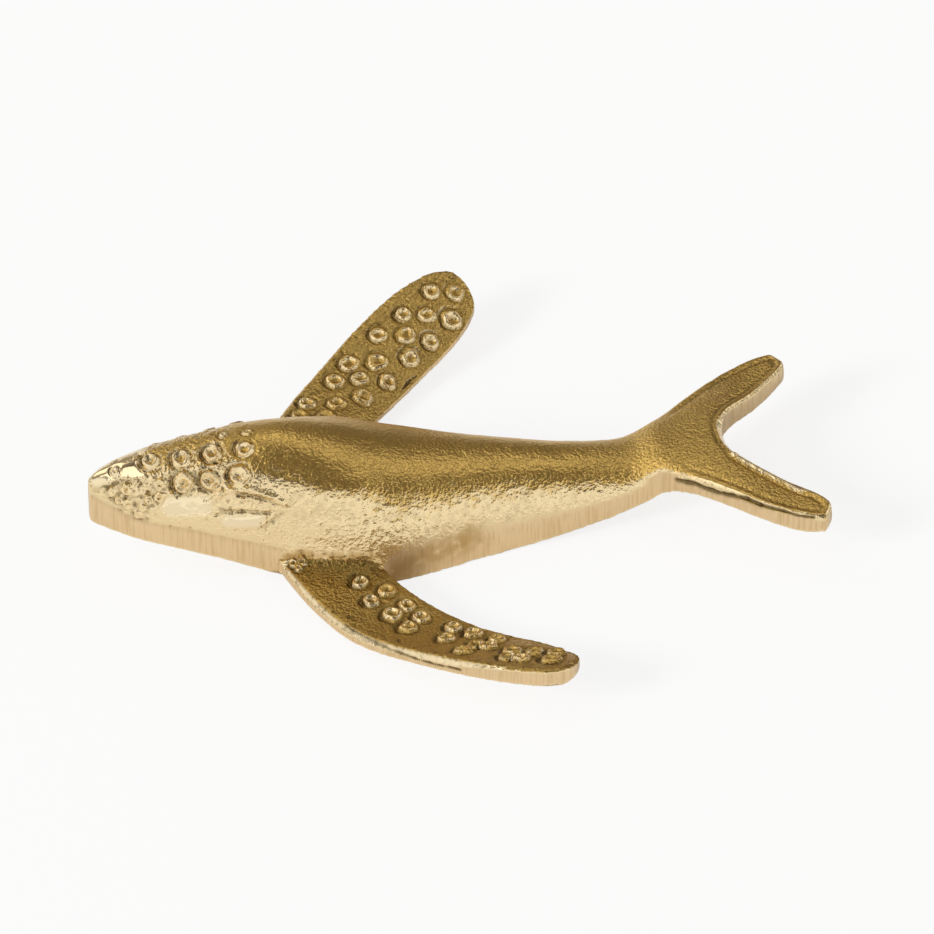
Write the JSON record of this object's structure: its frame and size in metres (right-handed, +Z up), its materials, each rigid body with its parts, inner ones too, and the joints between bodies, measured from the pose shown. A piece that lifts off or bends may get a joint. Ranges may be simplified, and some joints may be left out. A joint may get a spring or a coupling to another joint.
{
  "type": "whale figurine",
  "caption": "Small solid cast brass whale lying on its flat belly, with raised ring marks, swept flippers and a forked tail fluke; a desk or shelf ornament.",
  "frame": {"origin": "on the table, under the middle of the whale's box", "axes": "+X from snout to tail, +Y to the whale's right, +Z up from the flat belly"},
  "size_m": [0.1, 0.091, 0.0191],
  "materials": {
    "cast_brass": "sand-cast, lightly burnished, filed edges",
    "dowel_brass": "drawn rod, cut and chamfered"
  },
  "bodies": {
    "root": {"body": "cast_brass", "left_flipper": "cast_brass", "right_flipper": "cast_brass", "tail_fluke": "cast_brass", "left_flipper_front_dowel": "dowel_brass", "left_flipper_rear_dowel": "dowel_brass", "right_flipper_front_dowel": "dowel_brass", "right_flipper_rear_dowel": "dowel_brass", "tail_left_dowel": "dowel_brass", "tail_right_dowel": "dowel_brass"}
  },
  "joints": []
}
